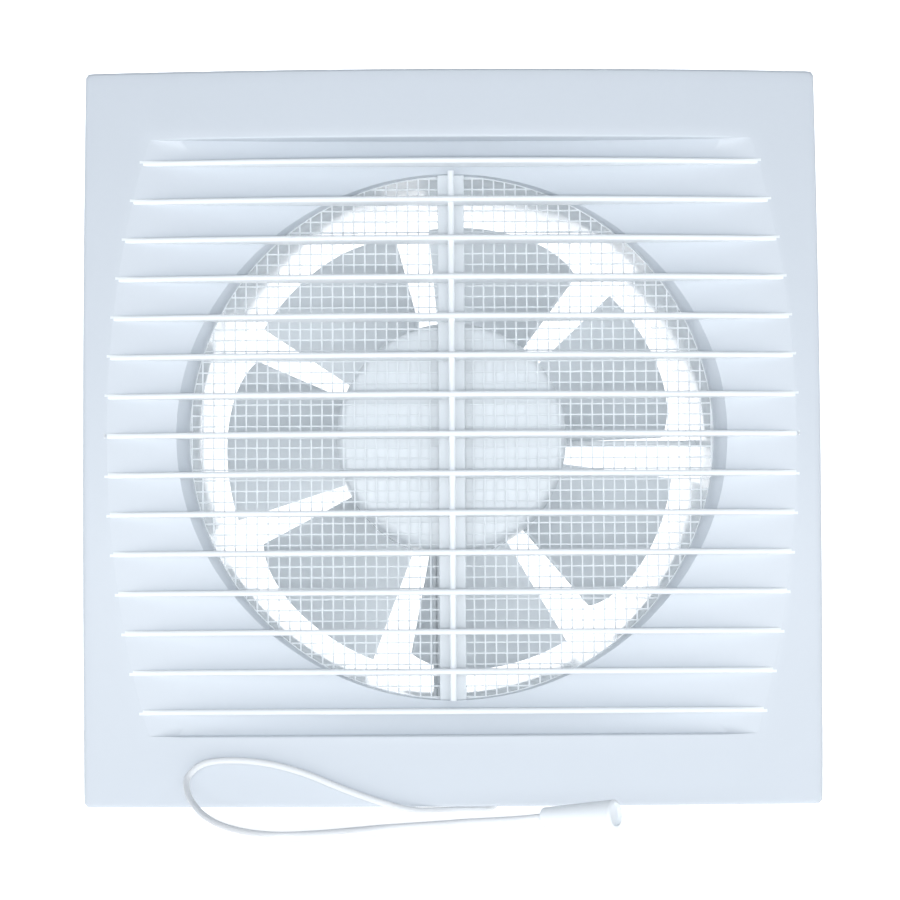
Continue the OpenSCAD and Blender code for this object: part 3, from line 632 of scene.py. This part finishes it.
class FAN_OT_housing(bpy.types.Operator):
    """Builds the wall plate, the duct with its glossy bore, the struts and the motor cup and cap"""

    bl_idname = "fan.housing"
    bl_label = "Housing and motor cap"

    def execute(self, context):
        s = settings()
        bm = bmesh.new()
        profile = [(0.0740, COLLAR_Y), (0.0761, COLLAR_Y + 0.0002), (0.0762, COLLAR_Y + 0.0004),
                   (0.0762, -0.0025), (0.0762, -0.0012), (0.0740, -0.0008), (0.0740, 0.0472)]
        profile += arc(0.0732, 0.0472, 0.0008, 0, 90, 4)
        profile += arc(0.0716, 0.0474, 0.0006, 90, 180, 4)
        profile += [(0.0711, 0.04), (0.0715, 0.02), (0.0722, 0.003), (0.0724, -0.001),
                    (0.0731, -0.0055), (0.0738, -0.0093), (0.0738, COLLAR_Y + 0.0002)]
        turned(bm, profile, 256)
        duct = new_object("duct_look", bm, smooth=40)
        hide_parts("fan_housing")
        gloss = plastic("Duct plastic", s.duct, 0.16, 0.02, coat=0.3)
        give(duct, gloss)
        # wall plate with its four holes, the cable hole and the snap lugs
        bm = bmesh.new()
        holes = [(x, z, 0.00225) for x in (-0.089, 0.089) for z in (-0.089, 0.089)]
        holes += [(-0.078, -0.092, 0.005)]
        self.plate(bm, (0.10095, 0.1012), 0.0739, holes)
        for x in (-1, 1):
            for z in (-0.05, 0.05):
                box(bm, (x * 0.10095 - 0.0005, -0.00185, z - 0.005),
                    (x * 0.10095 + 0.0005, -0.00065, z + 0.005), 0.0002)
        plate = new_object("wall_plate_look", bm, smooth=40)
        give(plate, plastic("Plate plastic", s.duct, 0.3, 0.04))
        # motor cup with pillars, and the four struts
        bm = bmesh.new()
        turned(bm, [(0.0310, 0.01192), (0.0330, 0.01192), (0.0330, 0.0252), (0.0325, 0.02592),
                    (0.0070, 0.02592), (0.0070, 0.02392), (0.0310, 0.02392)], 128)
        for k in (-1, 1):
            turned(bm, [(0.0012, 0.01952), (0.0034, 0.01952), (0.0034, 0.0242), (0.0012, 0.0242)],
                   32, (k * 0.0145, k * 0.009))
        t = 0.00065
        y0, y1 = 0.01992, 0.02592
        box(bm, (0.0320, y0, -t), (0.0722, y1, t), 0.0003)
        box(bm, (-0.0722, y0, 0.003 - t), (-0.0320, y1, 0.003 + t), 0.0003)
        box(bm, (-t, y0, 0.0320), (t, y1, 0.0722), 0.0003)
        box(bm, (-0.0044 - t, y0, -0.0722), (-0.0044 + t, y1, -0.0320), 0.0003)
        cup = new_object("motor_cup_look", bm, smooth=40)
        give(cup, gloss)
        bm = bmesh.new()
        cy = CAP_Y
        profile = [(0.0028, cy + 0.0018), (0.0028, cy + 0.0003), (0.0031, cy)]
        profile += [(0.0150, cy), (0.0298, cy), (0.0310, cy + 0.00025), (0.0318, cy + 0.0009),
                    (0.0323, cy + 0.0018), (0.03255, cy + 0.003), (0.0328, cy + 0.012),
                    (0.0330, 0.0117), (0.0309, 0.01187), (0.0309, 0.0149), (0.0297, 0.0149),
                    (0.0297, cy + 0.004), (0.0279, cy + 0.0018)]
        turned(bm, profile, 160)
        cap = new_object("motor_cap_look", bm, smooth=30)
        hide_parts("motor_cap")
        # The motor cap takes the brighter duct white: painted light inside the duct.
        give(cap, plastic("Cap plastic", s.duct, 0.28, 0.03))
        return {"FINISHED"}

    def plate(self, bm, half, bore, holes):
        """Flat plate filled between its outline, the bore and the holes, then given its thickness."""
        flat = bmesh.new()
        loops = []
        n = 128
        rim = [(a, square_edge(a, half[0], half[1], 0.001))
               for a in [2 * math.pi * (i + 0.5) / n for i in range(n)]]
        loops.append([(r * math.cos(a), r * math.sin(a)) for a, r in rim])
        loops.append([(bore * math.cos(2 * math.pi * i / 128),
                       bore * math.sin(2 * math.pi * i / 128)) for i in range(128)])
        for x, z, r in holes:
            loops.append([(x + r * math.cos(2 * math.pi * i / 32),
                           z + r * math.sin(2 * math.pi * i / 32)) for i in range(32)])
        edges = []
        for loop in loops:
            vs = [flat.verts.new((x, -0.0025, z)) for x, z in loop]
            edges += [flat.edges.new((vs[k], vs[(k + 1) % len(vs)])) for k in range(len(vs))]
        bmesh.ops.triangle_fill(flat, use_beauty=True, use_dissolve=False, edges=edges)
        made = bmesh.ops.extrude_face_region(flat, geom=list(flat.faces))
        moved = [v for v in made["geom"] if isinstance(v, bmesh.types.BMVert)]
        bmesh.ops.translate(flat, vec=(0, 0.0025, 0), verts=moved)
        mesh = bpy.data.meshes.new("plate_blank")
        flat.to_mesh(mesh)
        flat.free()
        bm.from_mesh(mesh)
        bpy.data.meshes.remove(mesh)


def blade_point(u, v, side, thick):
    """A point of a blade, in millimetres: u from front edge to rear edge, v from root to tip."""
    blade_y, depth, hub, span = 27.499, 24.0, 23.0, 42.0
    tip = 65.1 + 2.2 * math.sqrt(u) - 3 * (1 - u) ** 6
    root = hub - 0.8
    r = root + (tip - root) * v
    a = math.radians(-span * (1 - u))
    lead = depth * 180 / (span * math.pi)
    slope = math.hypot(r, lead)
    half = side * thick / 2 * (1 - 0.35 * v)
    y = blade_y + 0.8 + (depth - 1.6) * u + half * r / slope
    shift = -half * lead / slope
    return (r * math.cos(a) - shift * math.sin(a), y, r * math.sin(a) + shift * math.cos(a))


class FAN_OT_impeller(bpy.types.Operator):
    """Builds the impeller: seven twisted blades with soft edges on an open hub"""

    bl_idname = "fan.impeller"
    bl_label = "Impeller"

    def execute(self, context):
        s = settings()
        bm = bmesh.new()
        thick = s.blade * 1000
        us = [0, 0.006, 0.02] + [0.02 + 0.96 * k / 28 for k in range(1, 28)] + [0.98, 0.994, 1]
        vs = [k / 12 for k in range(12)] + [0.97, 0.99, 1]
        for i in range(BLADES):
            turn = math.radians(FIRST_BLADE + i * 360 / BLADES)
            c, d = math.cos(turn), math.sin(turn)
            rings = []
            for u in us:
                near = min(u, 1 - u)
                thin_u = 0.35 if near == 0 else (0.8 if near < 0.01 else 1.0)
                loop = []
                for side, seq in ((-1, vs), (1, list(reversed(vs)))):
                    for v in seq:
                        thin_v = 0.4 if v == 1 else (0.8 if v > 0.98 else 1.0)
                        x, y, z = blade_point(u, v, side, thick * min(thin_u, thin_v))
                        loop.append(bm.verts.new(
                            ((x * c - z * d) * MM, y * MM, (x * d + z * c) * MM)))
                rings.append(loop)
            quads(bm, rings)
            bm.faces.new(rings[0])
            bm.faces.new(list(reversed(rings[-1])))
        y0, y1 = IMPELLER_Y, IMPELLER_END
        turned(bm, [(0.0020, y0), (0.0224, y0), (0.0230, y0 + 0.0006), (0.0230, y1 - 0.0003),
                    (0.0227, y1), (0.0217, y1), (0.0214, y1 - 0.0003), (0.0214, y0 + 0.0016),
                    (0.0050, y0 + 0.0016), (0.0050, y1 - 0.0062), (0.0048, y1 - 0.006),
                    (0.0020, y1 - 0.006)], 128)
        for k in range(6):
            a = math.radians(60 * k)
            made = bmesh.new()
            box(made, (0.0048, y0 + 0.001, -0.0006), (0.0216, y0 + 0.012, 0.0006), 0.0002)
            bmesh.ops.rotate(made, cent=(0, 0, 0), verts=made.verts,
                             matrix=Matrix.Rotation(a, 3, "Y"))
            mesh = bpy.data.meshes.new("rib_blank")
            made.to_mesh(mesh)
            made.free()
            bm.from_mesh(mesh)
            bpy.data.meshes.remove(mesh)
        wheel = new_object("impeller_look", bm, "impeller_set", smooth=50)
        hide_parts("impeller")
        # The impeller takes the brightest white, painted light inside the duct; the translucent share
        # lets light through the thin blades.
        thin = plastic("Impeller plastic", s.blade_white, 0.28, 0.03)
        n, link = thin.node_tree.nodes, thin.node_tree.links.new
        glow, mix = n.new("ShaderNodeBsdfTranslucent"), n.new("ShaderNodeMixShader")
        glow.inputs["Color"].default_value = s.blade_white
        mix.inputs["Fac"].default_value = 0.22
        link(n["Principled BSDF"].outputs["BSDF"], mix.inputs[1])
        link(glow.outputs["BSDF"], mix.inputs[2])
        link(mix.outputs["Shader"], n["Material Output"].inputs["Surface"])
        give(wheel, thin)
        return {"FINISHED"}


class FAN_OT_finishes(bpy.types.Operator):
    """Gives every remaining piece of the fan its material"""

    bl_idname = "fan.finishes"
    bl_label = "Finishes"

    def execute(self, context):
        s = settings()
        white = plastic("Small mouldings", s.white, 0.35)
        ivory = plastic("Ivory plastic", (0.72, 0.69, 0.6, 1), 0.45)
        rubber = plastic("Rubber", (0.02, 0.02, 0.022, 1), 0.7, 0.1)
        fibre = plastic("Fibre washer", (0.1, 0.07, 0.05, 1), 0.7)
        steel = metal("Zinc-plated steel", (0.62, 0.63, 0.65, 1), 0.3)
        sheet = metal("Steel laminations", (0.42, 0.43, 0.45, 1), 0.4, 300)
        bronze = metal("Sintered bronze", (0.55, 0.38, 0.2, 1), 0.45)
        copper = metal("Enamelled copper", (0.6, 0.25, 0.1, 1), 0.3, 120)
        brass = metal("Contact brass", (0.75, 0.55, 0.25, 1), 0.25)
        brown = plastic("Brown sleeve", (0.12, 0.05, 0.025, 1), 0.5)
        lead = plastic("White sleeve", (0.75, 0.78, 0.8, 1), 0.5)
        table = {
            white: ["impeller_nut", "cable_clamp", "switch_body", "switch_lid", "pull_slider",
                    "cord_bush"],
            ivory: ["coil_bobbin", "terminal_block", "ratchet_drum"],
            rubber: ["motor_dampers", "cable_grommet"],
            fibre: ["thrust_washers"],
            steel: ["motor_shaft", "front_bracket", "rear_bracket", "motor_bolts",
                    "terminal_screws", "clamp_screws", "return_spring", "switch_screws"],
            sheet: ["stator_core", "rotor"],
            bronze: ["front_bearing", "rear_bearing"],
            copper: ["stator_winding", "shading_rings"],
            brass: ["contact_bridge", "fixed_contacts"],
            brown: ["live_wire"],
            lead: ["motor_live_wire", "motor_neutral_wire"],
        }
        for mat, names in table.items():
            for name in names:
                give(FRAME["nodes"][name], mat)
        for name in ("front_cover", "insect_mesh", "fan_housing", "motor_cap", "impeller",
                     "pull_cord", "cord_pull"):
            give(FRAME["nodes"][name], white)
        return {"FINISHED"}


class FAN_OT_stage(bpy.types.Operator):
    """Adds the plain floor, the backdrop and soft studio lights"""

    bl_idname = "fan.stage"
    bl_label = "Stage"

    def execute(self, context):
        s = settings()
        bm = bmesh.new()
        z = FLOOR_Z - 0.0001
        rows = []
        for y, h in [(-3, 0), (2.2, 0)] + [(2.2 + 1.2 * math.sin(math.radians(t)),
                                          1.2 * (1 - math.cos(math.radians(t))))
                                         for t in range(10, 91, 10)] + [(3.4, 6)]:
            rows.append([bm.verts.new((-5, y, z + h)), bm.verts.new((5, y, z + h))])
        quads(bm, rows, closed=False)
        floor = new_object("Floor", bm, body=None)
        mat = bpy.data.materials.new("Paper")
        mat.use_nodes = True
        shader = mat.node_tree.nodes["Principled BSDF"]
        shader.inputs["Base Color"].default_value = s.floor
        shader.inputs["Roughness"].default_value = 0.9
        shader.inputs["Emission Color"].default_value = (1, 1, 1, 1)
        shader.inputs["Emission Strength"].default_value = 0.6
        give(floor, mat)
        world = bpy.data.worlds.new("Studio")
        world.use_nodes = True
        back = world.node_tree.nodes["Background"]
        n, link = world.node_tree.nodes, world.node_tree.links.new
        coords, split = n.new("ShaderNodeTexCoord"), n.new("ShaderNodeSeparateXYZ")
        fade = n.new("ShaderNodeMapRange")
        fade.inputs["To Min"].default_value = 0.70
        fade.inputs["To Max"].default_value = 0.24
        link(coords.outputs["Generated"], split.inputs[0])
        link(split.outputs["Z"], fade.inputs["Value"])
        link(fade.outputs["Result"], back.inputs["Strength"])
        back.inputs["Color"].default_value = (0.83, 0.90, 1.0, 1)
        context.scene.world = world
        lamps = [("Low front", (0, -0.80, -0.088), (0.9, 0.026), 1.9),
                 ("Front", (0, -1.3, 0.12), (0.5, 0.35), 1.4),
                 ("Back wall", (0, 1.2, 1.0), (2.0, 2.0), 40)]
        for name, at, size, power in lamps:
            data = bpy.data.lights.new(name, "AREA")
            data.shape = "RECTANGLE"
            data.size, data.size_y = size
            data.energy = power
            data.color = (0.93, 0.97, 1.0)
            obj = bpy.data.objects.new(name, data)
            obj.location = at
            aim = Vector((0, 3.4, 0.3)) if name == "Back wall" else Vector((0, 0, 0))
            obj.rotation_euler = (aim - Vector(at)).to_track_quat("-Z", "Y").to_euler()
            context.scene.collection.objects.link(obj)
        context.scene.view_settings.view_transform = "Standard"
        return {"FINISHED"}


class FAN_PT_panel(bpy.types.Panel):
    """Sizes, colours and build steps of the fan"""

    bl_idname = "FAN_PT_panel"
    bl_label = "Extractor fan"
    bl_space_type = "VIEW_3D"
    bl_region_type = "UI"
    bl_category = "Fan"

    def draw(self, context):
        for name in FAN_PG_settings.__annotations__:
            self.layout.prop(context.scene.fan_settings, name)
        for cls in OPERATORS:
            self.layout.operator(cls.bl_idname)


OPERATORS = (FAN_OT_camera, FAN_OT_cord, FAN_OT_cover, FAN_OT_slats, FAN_OT_net, FAN_OT_housing,
             FAN_OT_impeller, FAN_OT_finishes, FAN_OT_stage)
CLASSES = (FAN_PG_settings, *OPERATORS, FAN_PT_panel)
FRAME = {}


def register():
    for cls in CLASSES:
        bpy.utils.register_class(cls)
    bpy.types.Scene.fan_settings = bpy.props.PointerProperty(type=FAN_PG_settings)


def unregister():
    del bpy.types.Scene.fan_settings
    for cls in reversed(CLASSES):
        bpy.utils.unregister_class(cls)


def main():
    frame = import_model()
    FRAME.update(frame)
    register()
    bpy.ops.fan.camera()
    bpy.ops.fan.cord()
    bpy.ops.fan.cover()
    bpy.ops.fan.slats()
    bpy.ops.fan.net()
    bpy.ops.fan.housing()
    bpy.ops.fan.impeller()
    bpy.ops.fan.finishes()
    bpy.ops.fan.stage()


if __name__ == "__main__":
    main()
